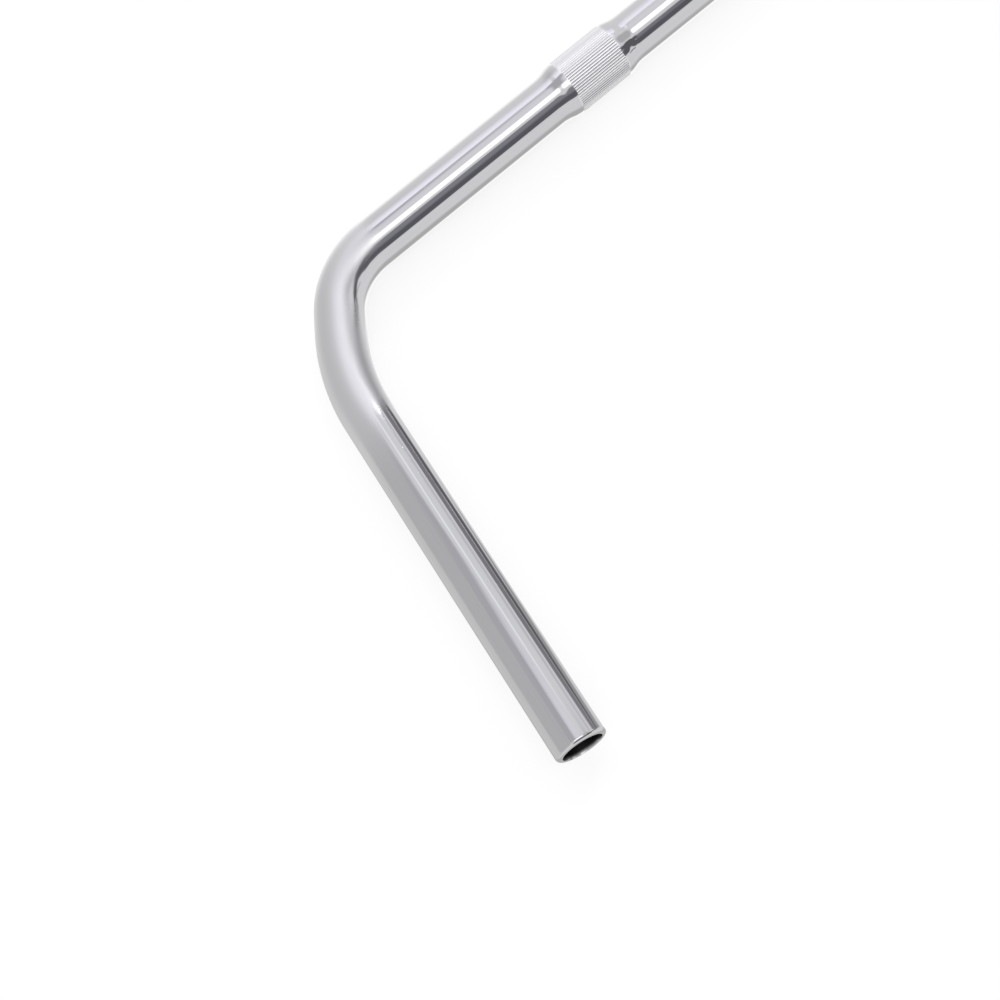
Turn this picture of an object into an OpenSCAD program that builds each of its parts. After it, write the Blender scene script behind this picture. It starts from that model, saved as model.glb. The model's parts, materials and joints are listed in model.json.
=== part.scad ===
// Flat handlebar: one aluminium tube, swaged up to a knurled barrel at the stem clamp and bent
// in a single plane to a pair of long grips that flare a little outwards.
//
// Frame: the middle of the clamp barrel is the origin and X runs along the barrel. The bar lies
// flat in the XY plane with its grips towards -Y, and Z is up. All sizes are in millimetres.

/* [Tube] */
// Outside diameter of the centre section, the bends and the grips
tube_d = 22.2; // [19:0.1:24.2]
// Wall thickness, the same from end to end
wall = 2.6; // [1.6:0.1:3.4]

/* [Stem clamp] */
// Diameter of the swaged barrel that the stem grips
clamp_d = 25.4; // [25:0.1:32]
// Length of the barrel at its full diameter
clamp_len = 24; // [16:1:60]
// Length of each S-shaped taper from the barrel down to the tube
taper_len = 11; // [8:0.5:25]

/* [Knurl] */
// Number of straight grooves around the barrel
groove_count = 64; // [24:1:72]
// Width of a groove at the surface
groove_w = 0.3; // [0.2:0.05:0.5]
// Depth of a groove
groove_depth = 0.25; // [0.1:0.05:0.6]
// How far the knurl runs out over each taper
knurl_overrun = 1; // [0:0.5:2]

/* [Centre section and bends] */
// Distance from the middle of the bar to the start of the tight bend
centre_reach = 120; // [70:1:200]
// Radius of the tight bend, on the tube's centreline
tight_radius = 37; // [30:1:70]
// Angle that the tight bend turns through
tight_angle = 57; // [30:1:65]
// Straight run between the two bends
link_len = 8; // [4:1:40]
// Radius of the wide bend, on the tube's centreline
wide_radius = 90; // [50:1:150]
// Angle that the wide bend turns through
wide_angle = 27; // [15:1:40]

/* [Grips] */
// Straight length of each grip, from the wide bend to the open end
grip_len = 165; // [80:1:240]
// Rounding of the outer edge at the open end
lip_round = 1.6; // [0.3:0.1:2.5]
// Depth of the countersink inside the open end
countersink_depth = 1.2; // [0.4:0.1:3]
// How much the countersink widens the bore, measured on the radius
countersink_w = 0.25; // [0.1:0.05:0.6]

/* [Hidden] */

$fn = 128;

tube_r = tube_d / 2;
bore_r = tube_r - wall;
clamp_r = clamp_d / 2;
clamp_bore_r = clamp_r - wall;
knurl_len = clamp_len + 2 * knurl_overrun;
// The lip keeps a flat ring at least this wide between its rounding and the countersink.
lip_flat_min = 0.3;
lip_r = min(lip_round, wall - countersink_w - lip_flat_min);
// How far a cutting shape passes the surface that it cuts.
overcut = 1;
// Straight runs stop this short of a bend, and a ball a hair larger than the tube fills each
// joint, so that the runs and the bends always grow together into one solid.
joint_gap = 0.05;
joint_rise = 0.003;

// Carries its children to the far end of a straight run along X.
module past_straight(length) {
    translate([length, 0, 0]) children();
}

// Carries its children to the far end of a bend that turns from X towards -Y.
module past_bend(radius, angle) {
    translate([0, -radius, 0]) rotate(-angle) translate([0, radius, 0]) children();
}

// A round rod from the origin along X.
module straight_run(r, length) {
    rotate([0, 90, 0]) cylinder(r = r, h = length);
}

// A round rod from the origin, heading along X and turning towards -Y.
module bend(r, radius, angle) {
    translate([0, -radius, 0])
        rotate_extrude(start = 90, angle = -angle)
            translate([radius, 0]) circle(r);
}

// Half the outline of the centre section: radius across, distance from the middle upwards.
// Two equal arcs, one outwards and one inwards, make the taper an S with no corner in it.
module centre_outline(r, barrel_r) {
    rise = barrel_r - r;
    arc_r = (taper_len * taper_len + rise * rise) / (4 * rise);
    barrel_end = clamp_len / 2;
    taper_mid = barrel_end + taper_len / 2;
    taper_end = barrel_end + taper_len;
    square([barrel_r, barrel_end]);
    intersection() {
        translate([barrel_r - arc_r, barrel_end]) circle(arc_r);
        translate([0, barrel_end]) square([barrel_r, taper_len / 2]);
    }
    difference() {
        translate([0, taper_mid]) square([barrel_r, taper_len / 2]);
        translate([r + arc_r, taper_end]) circle(arc_r);
    }
    translate([0, taper_end]) square([r, centre_reach - joint_gap - taper_end]);
}

module centre_section(r, barrel_r) {
    rotate([0, 90, 0])
        rotate_extrude() {
            centre_outline(r, barrel_r);
            mirror([0, 1]) centre_outline(r, barrel_r);
        }
}

// The outside of a grip, with its outer edge rounded at the open end.
module grip_outside() {
    rotate([0, 90, 0])
        rotate_extrude() {
            translate([0, joint_gap]) square([tube_r, grip_len - joint_gap - lip_r]);
            translate([0, grip_len - lip_r]) square([tube_r - lip_r, lip_r]);
            translate([tube_r - lip_r, grip_len - lip_r])
                intersection() {
                    circle(lip_r);
                    square(lip_r);
                }
        }
}

// The bore of a grip, countersunk where it opens.
module grip_bore() {
    slope = countersink_w / countersink_depth;
    past_straight(joint_gap) straight_run(bore_r, grip_len - joint_gap - countersink_depth);
    past_straight(grip_len - countersink_depth)
        rotate([0, 90, 0])
            cylinder(r1 = bore_r, r2 = bore_r + slope * (countersink_depth + overcut),
                     h = countersink_depth + overcut);
}

// The ball that fills the joint of a straight run and a bend, with its poles inside the tube.
module joint(r) {
    rotate([0, 90, 0]) sphere(r + joint_rise);
}

// One side from the centre section to the end of the wide bend, as a solid rod of the given
// radius. What it carries goes on from there.
module side(r) {
    past_straight(centre_reach) {
        joint(r);
        bend(r, tight_radius, tight_angle);
        past_bend(tight_radius, tight_angle) {
            joint(r);
            past_straight(joint_gap) straight_run(r, link_len - 2 * joint_gap);
            past_straight(link_len) {
                joint(r);
                bend(r, wide_radius, wide_angle);
                past_bend(wide_radius, wide_angle) {
                    joint(r);
                    children();
                }
            }
        }
    }
}

module both_sides() {
    children();
    mirror([1, 0, 0]) children();
}

module bar_outside() {
    centre_section(tube_r, clamp_r);
    both_sides() side(tube_r) grip_outside();
}

module bar_bore() {
    centre_section(bore_r, clamp_bore_r);
    both_sides() side(bore_r) grip_bore();
}

// Straight V grooves pressed into the barrel, parallel to its axis.
module knurl_grooves() {
    flank = groove_w / 2 / groove_depth;
    for (i = [0 : groove_count - 1])
        rotate([i * 360 / groove_count, 0, 0])
            rotate([90, 0, 90])
                linear_extrude(height = knurl_len, center = true)
                    polygon([
                        [0, clamp_r - groove_depth],
                        [flank * (groove_depth + overcut), clamp_r + overcut],
                        [-flank * (groove_depth + overcut), clamp_r + overcut]
                    ]);
}

// The whole bar, one piece.
module handlebar() {
    color([0.80, 0.80, 0.82])
        difference() {
            bar_outside();
            bar_bore();
            knurl_grooves();
        }
}

handlebar();
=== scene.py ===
import json
from math import atan, atan2, cos, degrees, pi, radians, sin, sqrt, tan

import bmesh
import bpy
from mathutils import Matrix, Quaternion, Vector


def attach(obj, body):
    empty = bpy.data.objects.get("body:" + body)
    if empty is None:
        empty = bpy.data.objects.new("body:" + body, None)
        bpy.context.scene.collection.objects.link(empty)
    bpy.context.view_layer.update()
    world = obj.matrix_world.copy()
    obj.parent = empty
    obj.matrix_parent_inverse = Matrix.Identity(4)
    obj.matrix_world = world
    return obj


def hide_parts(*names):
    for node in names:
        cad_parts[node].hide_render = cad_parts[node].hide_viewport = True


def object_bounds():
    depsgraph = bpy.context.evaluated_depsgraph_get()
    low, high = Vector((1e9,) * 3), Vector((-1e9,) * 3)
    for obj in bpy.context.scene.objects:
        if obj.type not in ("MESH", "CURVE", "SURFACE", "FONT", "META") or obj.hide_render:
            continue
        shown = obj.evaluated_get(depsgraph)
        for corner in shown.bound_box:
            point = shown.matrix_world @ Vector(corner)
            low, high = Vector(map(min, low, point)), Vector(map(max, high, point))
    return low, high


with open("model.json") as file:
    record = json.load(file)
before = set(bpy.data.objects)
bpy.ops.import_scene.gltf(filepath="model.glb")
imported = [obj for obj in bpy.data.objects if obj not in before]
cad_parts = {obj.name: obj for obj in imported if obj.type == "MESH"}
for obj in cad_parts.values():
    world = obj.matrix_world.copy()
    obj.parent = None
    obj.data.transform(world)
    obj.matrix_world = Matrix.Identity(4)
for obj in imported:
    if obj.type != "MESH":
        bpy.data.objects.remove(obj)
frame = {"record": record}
cad_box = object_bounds()


# The tube is one length of drawn aluminium. Its middle is swaged up to a barrel for the stem,
# and each side is bent in one plane, tight and then wide, into a long grip with an open end.
# Its diameters and the barrel's length are read from the mounts, and all sizes are in metres.
mounts = {mount["name"]: mount for mount in frame["record"]["mounts"]}


def millimetres(mount, size):
    return mounts[mount]["dims"][size] / 1000


tube_r = millimetres("grip_right", "r_mm")
bore_r = millimetres("end_bore_right", "r_mm")
wall = tube_r - bore_r
barrel_r = millimetres("stem_clamp", "r_mm")
barrel_half = millimetres("stem_clamp", "length_mm") / 2
taper_length = 0.011
centre_reach = 0.120
tight_radius, tight_turn = 0.037, radians(57)
link_length = 0.008
wide_radius, wide_turn = 0.090, radians(27)
grip_length = 0.165
lip_round = 0.0016
countersink_depth = 0.0012
countersink_w = 0.00025

# The barrel is knurled with straight V grooves pressed between low crowned teeth.
teeth = 64
groove_w = 0.0003
groove_depth = 0.00025
knurl_overrun = 0.001
knurl_half = barrel_half + knurl_overrun
crown_drop = 0.00011
crown_points = 3

# Points closer than this are one point.
same_point = 1e-6

# Marks on the tube's points: where each lies along and round the tube, and how it is finished; the finish
# marks also carry painted light and shade.
tube = bmesh.new()
along = tube.verts.layers.float.new("along")
around = tube.verts.layers.float.new("around")
dulled_and_highlighted = tube.verts.layers.float.new("dulled_and_highlighted")
knurled = tube.verts.layers.float.new("knurled")
unpolished_and_shaded = tube.verts.layers.float.new("unpolished_and_shaded")
round_tube = 2 * pi
tooth_turn = round_tube / teeth


def on_circle(turn, radius):
    return Vector((0, sin(turn) * radius, cos(turn) * radius))


# One tooth between two groove bottoms, as a line of points across the tube.
edge_turn = groove_w / 2 / barrel_r
profile = [on_circle(0, barrel_r - groove_depth)]
for point in range(crown_points + 2):
    share = point / (crown_points + 1)
    turn = edge_turn + share * (tooth_turn - 2 * edge_turn)
    profile.append(on_circle(turn, barrel_r - crown_drop * (2 * share - 1) ** 2))
profile.append(on_circle(tooth_turn, barrel_r - groove_depth))
tooth = [tube.verts.new(place) for place in profile]
tooth_edges = [tube.edges.new(pair) for pair in zip(tooth, tooth[1:])]
bmesh.ops.spin(tube, geom=tooth + tooth_edges, cent=(0, 0, 0), axis=(-1, 0, 0),
               angle=round_tube - tooth_turn, steps=teeth - 1, use_duplicate=True)
bmesh.ops.remove_doubles(tube, verts=tube.verts, dist=same_point)
for v in tube.verts:
    v[around] = atan2(v.co.y, v.co.z) / round_tube + 0.5

# The tube's open end, and its station, which is how far along the tube it has come.
end = {"edges": list(tube.edges), "centre": Vector((0, 0, 0)), "heading": Vector((1, 0, 0)), "station": 0.0}


def carry_on(geometry, centre, heading, run):
    """Makes what was just drawn the tube's open end, and returns its points."""
    points = [g for g in geometry if isinstance(g, bmesh.types.BMVert)]
    end["edges"] = [g for g in geometry if isinstance(g, bmesh.types.BMEdge)]
    end["centre"], end["heading"] = centre, heading
    end["station"] += run
    for v in points:
        v[along] = end["station"]
    return points


def draw(run, radius=None, grooved=False):
    """Draws the open end straight on, and swages it to a new radius."""
    geometry = bmesh.ops.extrude_edge_only(tube, edges=end["edges"])["geom"]
    step = end["heading"] * run
    points = carry_on(geometry, end["centre"] + step, end["heading"], abs(run))
    bmesh.ops.translate(tube, vec=step, verts=points)
    for v in points:
        spoke = v.co - end["centre"]
        if radius is not None and not (grooved and spoke.length < radius):
            v.co = end["centre"] + spoke.normalized() * radius


def bend(radius, turn, steps):
    """Swings the open end round a bend, outwards with a turn below zero and back with one above."""
    pivot = end["centre"] + Matrix.Rotation(-pi / 2, 3, "Z") @ end["heading"] * radius
    step = Matrix.Rotation(turn / steps, 3, "Z")
    for _ in range(steps):
        points = list({v for edge in end["edges"] for v in edge.verts})
        swung = bmesh.ops.spin(tube, geom=points + end["edges"], cent=pivot, axis=(0, 0, 1),
                               angle=turn / steps, steps=1, use_duplicate=False)
        carry_on(swung["geom_last"], pivot + step @ (end["centre"] - pivot), step @ end["heading"],
                 radius * abs(turn) / steps)


def taper_radius(thick_r, thin_r, distance):
    """The taper's radius: an S of two equal arcs, from the thick end to the thin one."""
    rise = thick_r - thin_r
    arc_r = (taper_length ** 2 + rise ** 2) / (4 * rise)
    if distance < taper_length / 2:
        return thick_r - arc_r + sqrt(arc_r ** 2 - distance ** 2)
    return thin_r + arc_r - sqrt(arc_r ** 2 - (taper_length - distance) ** 2)


# The outside, from the middle of the barrel to the rounded lip. The taper is drawn in steps as
# long as the knurl's overrun, which is the first of them.
taper_steps = round(taper_length / knurl_overrun)
taper_step = taper_length / taper_steps
knurl_end_r = taper_radius(barrel_r, tube_r, knurl_overrun)
plain_run = centre_reach - barrel_half - taper_length
tight_steps, wide_steps, lip_steps = 22, 16, 7
settling_length, settling_steps = 0.006, 3
fading_length, fading_steps = 0.040, 10
draw(barrel_half)
draw(knurl_overrun, knurl_end_r, grooved=True)
draw(0, knurl_end_r)
for step in range(2, taper_steps + 1):
    draw(taper_step, taper_radius(barrel_r, tube_r, step * taper_step))
draw(plain_run - settling_length)
for _ in range(settling_steps):
    draw(settling_length / settling_steps)
tight_start = end["station"]
bend(tight_radius, -tight_turn, tight_steps)
draw(link_length)
wide_start = end["station"]
bend(wide_radius, -wide_turn, wide_steps)
wide_end = end["station"]
for _ in range(fading_steps):
    draw(fading_length / fading_steps)
draw(grip_length - lip_round - fading_length)
for step in range(1, lip_steps + 1):
    before, now = (quarter / lip_steps * pi / 2 for quarter in (step - 1, step))
    draw(lip_round * (sin(now) - sin(before)), tube_r - lip_round * (1 - cos(now)))

# The flat of the mouth, its countersink, and the bore back to the middle of the barrel.
draw(0, bore_r + countersink_w)
draw(-countersink_depth, bore_r)
mouth_station = end["station"]
mouth_step = 0.0004
draw(-mouth_step)
draw(countersink_depth + mouth_step - grip_length)
bend(wide_radius, wide_turn, wide_steps)
draw(-link_length)
bend(tight_radius, tight_turn, tight_steps)
draw(-plain_run)
for step in range(taper_steps - 1, -1, -1):
    draw(-taper_step, taper_radius(barrel_r - wall, bore_r, step * taper_step))
draw(-barrel_half)

bmesh.ops.mirror(tube, geom=tube.verts[:] + tube.edges[:] + tube.faces[:], axis="X", merge_dist=same_point)
bmesh.ops.remove_doubles(tube, verts=tube.verts, dist=same_point)
bmesh.ops.recalc_face_normals(tube, faces=tube.faces)

# Bending took the mirror off the metal: both bends are dull, but for the tight one's inner side,
# where the metal was squeezed and not stretched. The sides run from -1, the middle of the bend's
# inner side, to 1, the middle of its outer side, and the dullness dies out later on the outer one.
squeezed_polish = 0.85
squeezed_side, stretched_side = -0.87, -0.26
squeezed_fading = 0.012
full_dullness_after = 0.004
fading_lead = 0.001
inner_fading = 0.010
inner_side_end, outer_side_start = -0.35, 0.2


def eased(value, start, stop):
    """0 at start, 1 at stop, and smooth between them."""
    share = min(max((value - start) / (stop - start), 0), 1)
    return share * share * (3 - 2 * share)


for v in tube.verts:
    side = sin((v[around] - 0.5) * round_tube)
    before_wide_bend = 1 - eased(v[along], wide_start - squeezed_fading, wide_start + squeezed_fading)
    squeezed = squeezed_polish * (1 - eased(side, squeezed_side, stretched_side)) * before_wide_bend
    outer_fading = (fading_length - inner_fading) * eased(side, inner_side_end, outer_side_start)
    past_start = eased(v[along], tight_start - settling_length, tight_start + full_dullness_after)
    past_end = eased(v[along], wide_end - fading_lead, wide_end + inner_fading + outer_fading)
    # This mark also lightens the bends' colour in the material: a painted highlight.
    v[dulled_and_highlighted] = past_start * (1 - past_end) * (1 - squeezed)
    v[knurled] = v[along] < knurl_half + same_point
    # The bore, and the countersink darkening towards its inner edge; their near-black colour is painted shade
    # deep in the tube.
    v[unpolished_and_shaded] = eased(v[along], mouth_station - countersink_depth, mouth_station + mouth_step)

# The surface is laid out flat along the tube, so that the polishing lines can follow it.
whole_run = 2 * end["station"]
sharp_corner = radians(35)
layout = tube.loops.layers.uv.new("tube")
for face in tube.faces:
    face.smooth = True
    half = 1 if face.calc_center_median().x > 0 else -1
    turns = [v[around] for v in face.verts]
    wraps = max(turns) - min(turns) > 0.5
    for loop in face.loops:
        turn = loop.vert[around]
        loop[layout].uv = (0.5 + half * loop.vert[along] / whole_run, turn + (wraps and turn < 0.5))
handlebar_mesh = bpy.data.meshes.new("polished_bar")
tube.to_mesh(handlebar_mesh)
tube.free()
handlebar_mesh.set_sharp_from_angle(angle=sharp_corner)
polished_bar = bpy.data.objects.new("polished_bar", handlebar_mesh)
bpy.context.scene.collection.objects.link(polished_bar)

# Polished aluminium: a bright mirror with hair-fine polishing lines along the tube, a slight
# unevenness left by drawing and bending, and a few specks.
aluminium = bpy.data.materials.new("polished_aluminium")
aluminium.use_nodes = True
nodes, links = aluminium.node_tree.nodes, aluminium.node_tree.links
metal = nodes["Principled BSDF"]
metal.inputs["Metallic"].default_value = 1.0
metal.inputs["Anisotropic"].default_value = 0.35

surface = nodes.new("ShaderNodeUVMap")
surface.uv_map = "tube"
parts = nodes.new("ShaderNodeSeparateXYZ")
links.new(surface.outputs["UV"], parts.inputs["Vector"])
grain_direction = nodes.new("ShaderNodeTangent")
grain_direction.direction_type = "UV_MAP"
grain_direction.uv_map = "tube"
links.new(grain_direction.outputs["Tangent"], metal.inputs["Tangent"])


def feed(socket, value):
    """Joins a socket to another, or sets it to a plain number or colour."""
    if isinstance(value, bpy.types.NodeSocket):
        links.new(value, socket)
    else:
        socket.default_value = value


def arithmetic(operation, a, b=0.0):
    node = nodes.new("ShaderNodeMath")
    node.operation = operation
    feed(node.inputs[0], a)
    feed(node.inputs[1], b)
    return node.outputs["Value"]


def mixed(share, under, over):
    """Lays one colour over another, by a share from 0 to 1."""
    node = nodes.new("ShaderNodeMix")
    node.data_type = "RGBA"
    feed(node.inputs["Factor"], share)
    feed(node.inputs["A"], under)
    feed(node.inputs["B"], over)
    return node.outputs["Result"]


# A place on the unrolled tube, in metres along it and as a circle round it, so no seam shows.
turned = arithmetic("MULTIPLY", parts.outputs["Y"], round_tube)
unrolled = nodes.new("ShaderNodeCombineXYZ")
links.new(arithmetic("MULTIPLY", parts.outputs["X"], whole_run), unrolled.inputs["X"])
links.new(arithmetic("MULTIPLY", arithmetic("SINE", turned), tube_r), unrolled.inputs["Y"])
links.new(arithmetic("MULTIPLY", arithmetic("COSINE", turned), tube_r), unrolled.inputs["Z"])


def streaks(stretch, scale, detail):
    """Noise drawn out along the tube, by so many times as long as it is wide."""
    placing = nodes.new("ShaderNodeMapping")
    placing.inputs["Scale"].default_value = (1 / stretch, 1, 1)
    links.new(unrolled.outputs["Vector"], placing.inputs["Vector"])
    noise = nodes.new("ShaderNodeTexNoise")
    noise.inputs["Scale"].default_value = scale
    noise.inputs["Detail"].default_value = detail
    links.new(placing.outputs["Vector"], noise.inputs["Vector"])
    return noise.outputs["Fac"]


def spread(value, start, stop, least, most):
    """Goes evenly from the least to the most while the value goes from start to stop."""
    node = nodes.new("ShaderNodeMapRange")
    links.new(value, node.inputs["Value"])
    for name, number in zip(("From Min", "From Max", "To Min", "To Max"), (start, stop, least, most)):
        node.inputs[name].default_value = number
    return node.outputs["Result"]


lines = streaks(stretch=60, scale=2600, detail=3)
unevenness = streaks(stretch=4, scale=90, detail=2)
specks = streaks(stretch=1.5, scale=1400, detail=1)

colour = mixed(spread(lines, start=0.3, stop=0.7, least=0, most=1),
               under=(0.610, 0.610, 0.625, 1), over=(0.640, 0.640, 0.655, 1))
roughness = arithmetic("ADD", spread(unevenness, start=0.35, stop=0.65, least=0.05, most=0.08),
                       spread(specks, start=0.70, stop=0.76, least=0, most=0.12))

# The marks that change the finish, each with its colour and how much roughness it adds.
# The colours also hold painted light: a highlight on the bends, lifted shade on the knurl, and shade in the
# bore.
finishes = (
    # The bends: rougher from bending, and lighter in colour as a painted highlight.
    ("dulled_and_highlighted", (0.740, 0.740, 0.755, 1), 0.36),
    # The knurl: a little rougher, and lighter in colour, painted light that lifts the shade in its grooves.
    ("knurled", (0.760, 0.760, 0.770, 1), 0.10),
    # The bore: unpolished and rougher, and near black as painted shade where little light gets into the tube.
    ("unpolished_and_shaded", (0.060, 0.060, 0.060, 1), 0.30),
)
for name, tint, added_roughness in finishes:
    mark = nodes.new("ShaderNodeAttribute")
    mark.attribute_name = name
    colour = mixed(mark.outputs["Fac"], under=colour, over=tint)
    roughness = arithmetic("ADD", roughness, arithmetic("MULTIPLY", mark.outputs["Fac"], added_roughness))
links.new(colour, metal.inputs["Base Color"])
links.new(roughness, metal.inputs["Roughness"])

line_depth, unevenness_depth = 0.10, 1.6
relief_depth = 0.000004
relief = arithmetic("ADD", arithmetic("MULTIPLY", lines, line_depth),
                    arithmetic("MULTIPLY", unevenness, unevenness_depth))
bump = nodes.new("ShaderNodeBump")
bump.inputs["Distance"].default_value = relief_depth
bump.inputs["Strength"].default_value = 1.0
links.new(relief, bump.inputs["Height"])
links.new(bump.outputs["Normal"], metal.inputs["Normal"])

handlebar_mesh.materials.append(aluminium)
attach(polished_bar, "root")
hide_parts("handlebar")


# The floor is a wide sheet of plain white board, and the bar lies on it. It looks white to the
# camera and keeps the bar's soft shadow, and the metal mirrors the studio in its place.
floor_z = cad_box[0].z
floor_r = 6.0
floor_sides = 96
board = bmesh.new()
bmesh.ops.create_circle(board, cap_ends=True, segments=floor_sides, radius=floor_r,
                        matrix=Matrix.Translation((0, 0, floor_z)))
floor_mesh = bpy.data.meshes.new("floor")
board.to_mesh(floor_mesh)
board.free()
floor = bpy.data.objects.new("floor", floor_mesh)
bpy.context.scene.collection.objects.link(floor)
floor.visible_glossy = False

white_board = bpy.data.materials.new("white_board")
white_board.use_nodes = True
nodes, links = white_board.node_tree.nodes, white_board.node_tree.links
nodes.clear()
paper = nodes.new("ShaderNodeBsdfDiffuse")
paper.inputs["Color"].default_value = (0.30, 0.30, 0.30, 1)
glow = nodes.new("ShaderNodeEmission")
glow.inputs["Color"].default_value = (0.78, 0.78, 0.78, 1)
seen = nodes.new("ShaderNodeLightPath")
links.new(seen.outputs["Is Camera Ray"], glow.inputs["Strength"])
whole = nodes.new("ShaderNodeAddShader")
links.new(paper.outputs["BSDF"], whole.inputs[0])
links.new(glow.outputs["Emission"], whole.inputs[1])
surface_out = nodes.new("ShaderNodeOutputMaterial")
links.new(whole.outputs["Shader"], surface_out.inputs["Surface"])
floor_mesh.materials.append(white_board)


# The studio is a white room with a long soft box over the camera and a small lamp on the right,
# painted on the world as soft-edged patches. Dark openings beside the camera and on the right
# draw the dark bands along the polished tube.
def sight(azimuth, elevation):
    """The direction at an azimuth from +Y towards +X and a height above the floor, in degrees."""
    a, e = radians(azimuth), radians(elevation)
    return Vector((sin(a) * cos(e), cos(a) * cos(e), sin(e)))


def beside_bar(rise, azimuth):
    """The direction at an azimuth on the circle that rises so far over -Y and runs with the barrel."""
    return sight(azimuth, degrees(atan(tan(radians(rise)) * -cos(radians(azimuth)))))


world = bpy.data.worlds.new("studio")
bpy.context.scene.world = world
world.use_nodes = True
nodes, links = world.node_tree.nodes, world.node_tree.links
nodes.clear()
direction = nodes.new("ShaderNodeTexCoord").outputs["Generated"]


def facing(axis):
    """1 in the direction of the axis, 0 at right angles to it, and -1 behind it."""
    dot = nodes.new("ShaderNodeVectorMath")
    dot.operation = "DOT_PRODUCT"
    dot.inputs[1].default_value = axis
    links.new(direction, dot.inputs[0])
    return dot.outputs["Value"]


def ease(value, start, stop):
    """0 at start, 1 at stop, and smooth between them."""
    node = nodes.new("ShaderNodeMapRange")
    node.interpolation_type = "SMOOTHSTEP"
    node.inputs["From Min"].default_value = start
    node.inputs["From Max"].default_value = stop
    links.new(value, node.inputs["Value"])
    return node.outputs["Result"]


def lay_over(mask, radiance):
    """Paints a patch over the room as it is so far."""
    room.append(mixed(mask, under=room[-1], over=(*radiance, 1)))


def both(a, b):
    """What two masks have in common."""
    return arithmetic("MULTIPLY", a, b)


def disc(centre, full, gone):
    """A round patch, full up to one angle from its centre and gone from the other on."""
    return ease(facing(centre), cos(radians(gone)), cos(radians(full)))


def strip(start, stop, depth, soft, soft_end):
    """A band between two directions. Its depth and soft edges are in degrees, below and above."""
    axis = stop.cross(start).normalized()
    axis *= 1 if axis.z > 0 else -1
    middle = (start + stop).normalized()
    height = facing(axis)
    bottom = ease(height, sin(radians(-depth[0] - soft[0])), sin(radians(-depth[0])))
    top = ease(height, sin(radians(depth[1] + soft[1])), sin(radians(depth[1])))
    reach = start.angle(stop) / 2
    ends = ease(facing(middle), cos(min(pi, reach + radians(soft_end))), cos(reach))
    return both(both(bottom, top), ends)


walls = nodes.new("ShaderNodeRGB")
walls.outputs[0].default_value = (0.93, 0.93, 0.94, 1)
room = [walls.outputs[0]]
below_horizon = ease(facing(Vector((0, 0, -1))), -0.10, 0.12)
dark = (0.15, 0.15, 0.16)

# The room is dimmer on the left, and the ground is bright beyond the bar and grey under it.
# The grey under it is painted shade in place of the bar's shadow, as the metal doesn't see the floor.
lay_over(disc(sight(-65, 20), full=40, gone=75), (0.64, 0.64, 0.64))
lay_over(both(disc(sight(-70, -25), full=30, gone=60), below_horizon), (0.80, 0.80, 0.79))
lay_over(both(disc(sight(8, -35), full=10, gone=36), below_horizon), (1.25, 1.25, 1.23))
lay_over(disc(sight(0, -90), full=28, gone=50), (0.60, 0.60, 0.59))
lay_over(disc(sight(55, -66), full=12, gone=22), (1.25, 1.25, 1.23))

# A grey ceiling over the grip, with a thin bright line and a pale end, and a grey wall beside it.
lay_over(strip(sight(-75, 70), sight(30, 74), depth=(12, 12), soft=(14, 7), soft_end=10), (0.58, 0.57, 0.60))
lay_over(strip(sight(46, 54), sight(66, 60.5), depth=(1.0, 0.6), soft=(5, 3), soft_end=8), (1.18, 1.19, 1.27))
lay_over(disc(sight(75, 80), full=3, gone=18), (0.97, 0.96, 1.01))
lay_over(disc(sight(106, 47), full=9, gone=18), (0.62, 0.62, 0.63))

# The dark opening on the right, which draws the dark band along the grip, under a pale ledge.
lay_over(strip(sight(60, 28), sight(90, 28), depth=(3, 3), soft=(3, 5), soft_end=8), (0.74, 0.74, 0.79))
lay_over(strip(sight(55, -1), sight(90, -1), depth=(17, 17), soft=(4, 4), soft_end=8), (0.29, 0.28, 0.30))
lay_over(strip(sight(55, -9), sight(90, -9), depth=(3, 3), soft=(4, 4), soft_end=8), dark)

# The dark opening beside the camera, which draws the band along the straight middle of the bar.
lay_over(strip(beside_bar(28, 200), beside_bar(28, 153), depth=(18, 22), soft=(4, 4), soft_end=4),
         (0.30, 0.30, 0.33))
lay_over(strip(beside_bar(16, 200), beside_bar(16, 153), depth=(6, 8), soft=(5, 12), soft_end=4),
         (0.14, 0.14, 0.16))

# Its right-hand corner, mirrored in the far taper, and the dark line that runs on round the tight bend.
lay_over(disc(sight(132, 24), full=10, gone=14), dark)
lay_over(disc(sight(145, 17), full=9, gone=13), dark)
lay_over(strip(sight(150, 37), sight(96, -4), depth=(4, 4), soft=(5, 5), soft_end=6), dark)
lay_over(strip(sight(96, -4), sight(72, -34), depth=(2, 2), soft=(5, 5), soft_end=6), (0.45, 0.45, 0.45))

# The long soft box over the camera, and the small lamp on the right.
lay_over(strip(beside_bar(70, 215), beside_bar(70, 128), depth=(9, 9), soft=(1.5, 1.5), soft_end=3),
         (1.8, 1.8, 1.8))
lay_over(disc(sight(56, 29), full=1, gone=5), (19.0, 19.0, 19.5))

studio = nodes.new("ShaderNodeBackground")
links.new(room[-1], studio.inputs["Color"])
backdrop = nodes.new("ShaderNodeBackground")
backdrop.inputs["Color"].default_value = (1, 1, 1, 1)
seen = nodes.new("ShaderNodeLightPath")
choice = nodes.new("ShaderNodeMixShader")
links.new(seen.outputs["Is Camera Ray"], choice.inputs["Fac"])
links.new(studio.outputs["Background"], choice.inputs[1])
links.new(backdrop.outputs["Background"], choice.inputs[2])
world_out = nodes.new("ShaderNodeOutputWorld")
links.new(choice.outputs["Shader"], world_out.inputs["Surface"])


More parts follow.
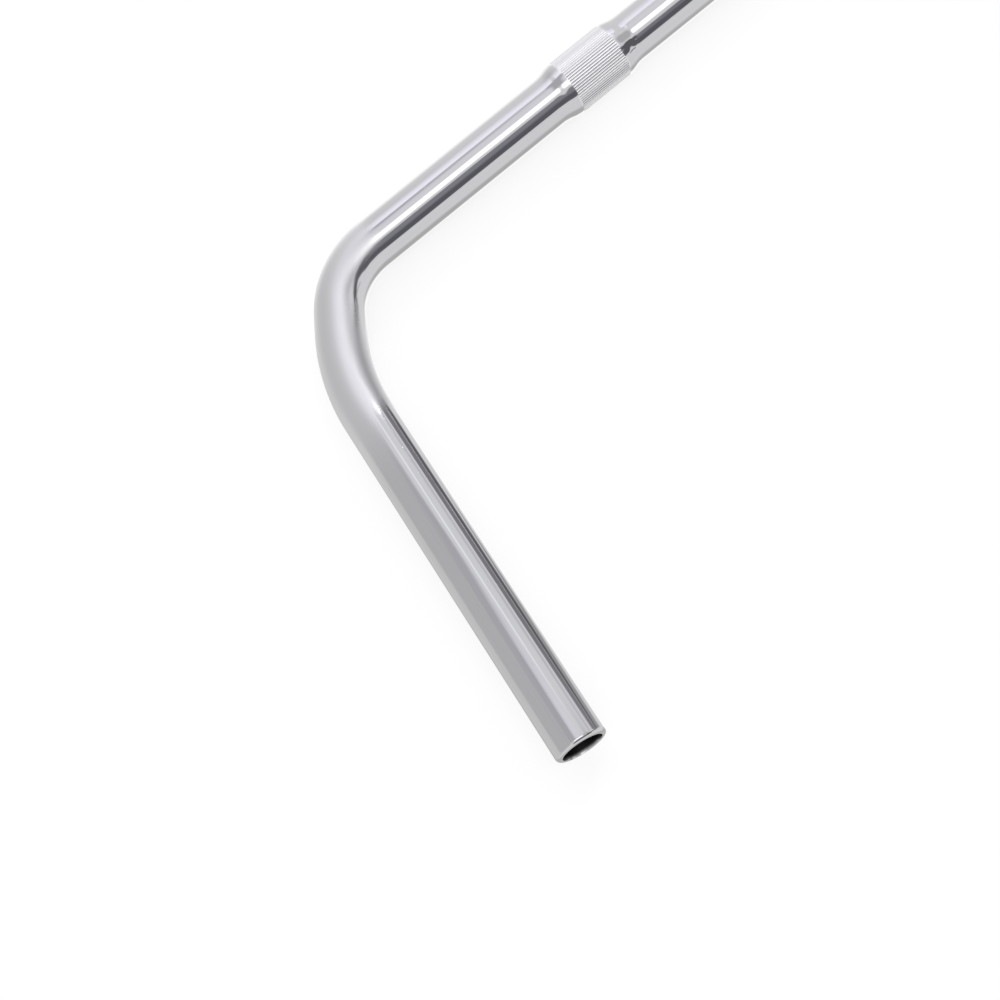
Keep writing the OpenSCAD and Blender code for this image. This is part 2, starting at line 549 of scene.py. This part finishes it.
# A pale lavender card hangs over the far side of the centre section. Only the metal sees it,
# as the soft lilac band along the bar, brightest and sharp-edged at the card's near end.
card_near, card_far = Vector((0.11, 0.166, 0.384)), Vector((0.11, 0.390, 0.236))
card_width = 0.46
card_slope = card_far - card_near
side_edge, near_edge = 0.12, 0.05
far_fading = 0.85
sheet = bmesh.new()
bmesh.ops.create_grid(sheet, x_segments=1, y_segments=1, size=0.5, calc_uvs=True)
unit = Vector((1, 0, 0)).cross(card_slope).normalized()
placing = Matrix((Vector((card_width, 0, 0)), card_slope, unit)).transposed().to_4x4()
placing.translation = (card_near + card_far) / 2
glow_map = sheet.loops.layers.uv.verify()
for face in sheet.faces:
    for loop in face.loops:
        loop[glow_map].uv = (loop.vert.co.x + 0.5, 0.5 - loop.vert.co.y)
bmesh.ops.transform(sheet, matrix=placing, verts=sheet.verts)
card_mesh = bpy.data.meshes.new("lavender_card")
sheet.to_mesh(card_mesh)
sheet.free()
card = bpy.data.objects.new("lavender_card", card_mesh)
bpy.context.scene.collection.objects.link(card)
card.visible_camera = card.visible_diffuse = card.visible_shadow = card.visible_transmission = False

lavender = bpy.data.materials.new("lavender_glow")
lavender.use_nodes = True
nodes, links = lavender.node_tree.nodes, lavender.node_tree.links
nodes.clear()
on_card = nodes.new("ShaderNodeSeparateXYZ")
links.new(nodes.new("ShaderNodeTexCoord").outputs["UV"], on_card.inputs["Vector"])
across = both(ease(on_card.outputs["X"], 0, side_edge), ease(on_card.outputs["X"], 1, 1 - side_edge))
nearer = both(ease(on_card.outputs["Y"], 0, far_fading), ease(on_card.outputs["Y"], 1, 1 - near_edge))
pale_glow = nodes.new("ShaderNodeEmission")
pale_glow.inputs["Color"].default_value = (0.93, 0.91, 1.0, 1)
pale_glow.inputs["Strength"].default_value = 1.4
clear = nodes.new("ShaderNodeBsdfTransparent")
faded = nodes.new("ShaderNodeMixShader")
links.new(both(across, nearer), faded.inputs["Fac"])
links.new(clear.outputs["BSDF"], faded.inputs[1])
links.new(pale_glow.outputs["Emission"], faded.inputs[2])
card_out = nodes.new("ShaderNodeOutputMaterial")
links.new(faded.outputs["Shader"], card_out.inputs["Surface"])
card_mesh.materials.append(lavender)


# The camera looks down on the bar's left half from above the grip, turned so that the barrel
# runs out at the top of the picture.
camera_place = Vector((-0.17657, -0.35715, 0.55355))
camera_aim = Vector((-0.15047, -0.12947, 0.0))
camera_roll = radians(-33.337)
camera_data = bpy.data.cameras.new("camera")
camera_data.sensor_width = 36
camera_data.lens = 54.35
camera = bpy.data.objects.new("camera", camera_data)
bpy.context.scene.collection.objects.link(camera)
camera.location = camera_place
camera.rotation_mode = "QUATERNION"
camera.rotation_quaternion = (
    (camera_aim - camera_place).to_track_quat("-Z", "Y") @ Quaternion((0, 0, 1), camera_roll)
)
bpy.context.scene.camera = camera
bpy.context.scene.view_settings.view_transform = "Standard"
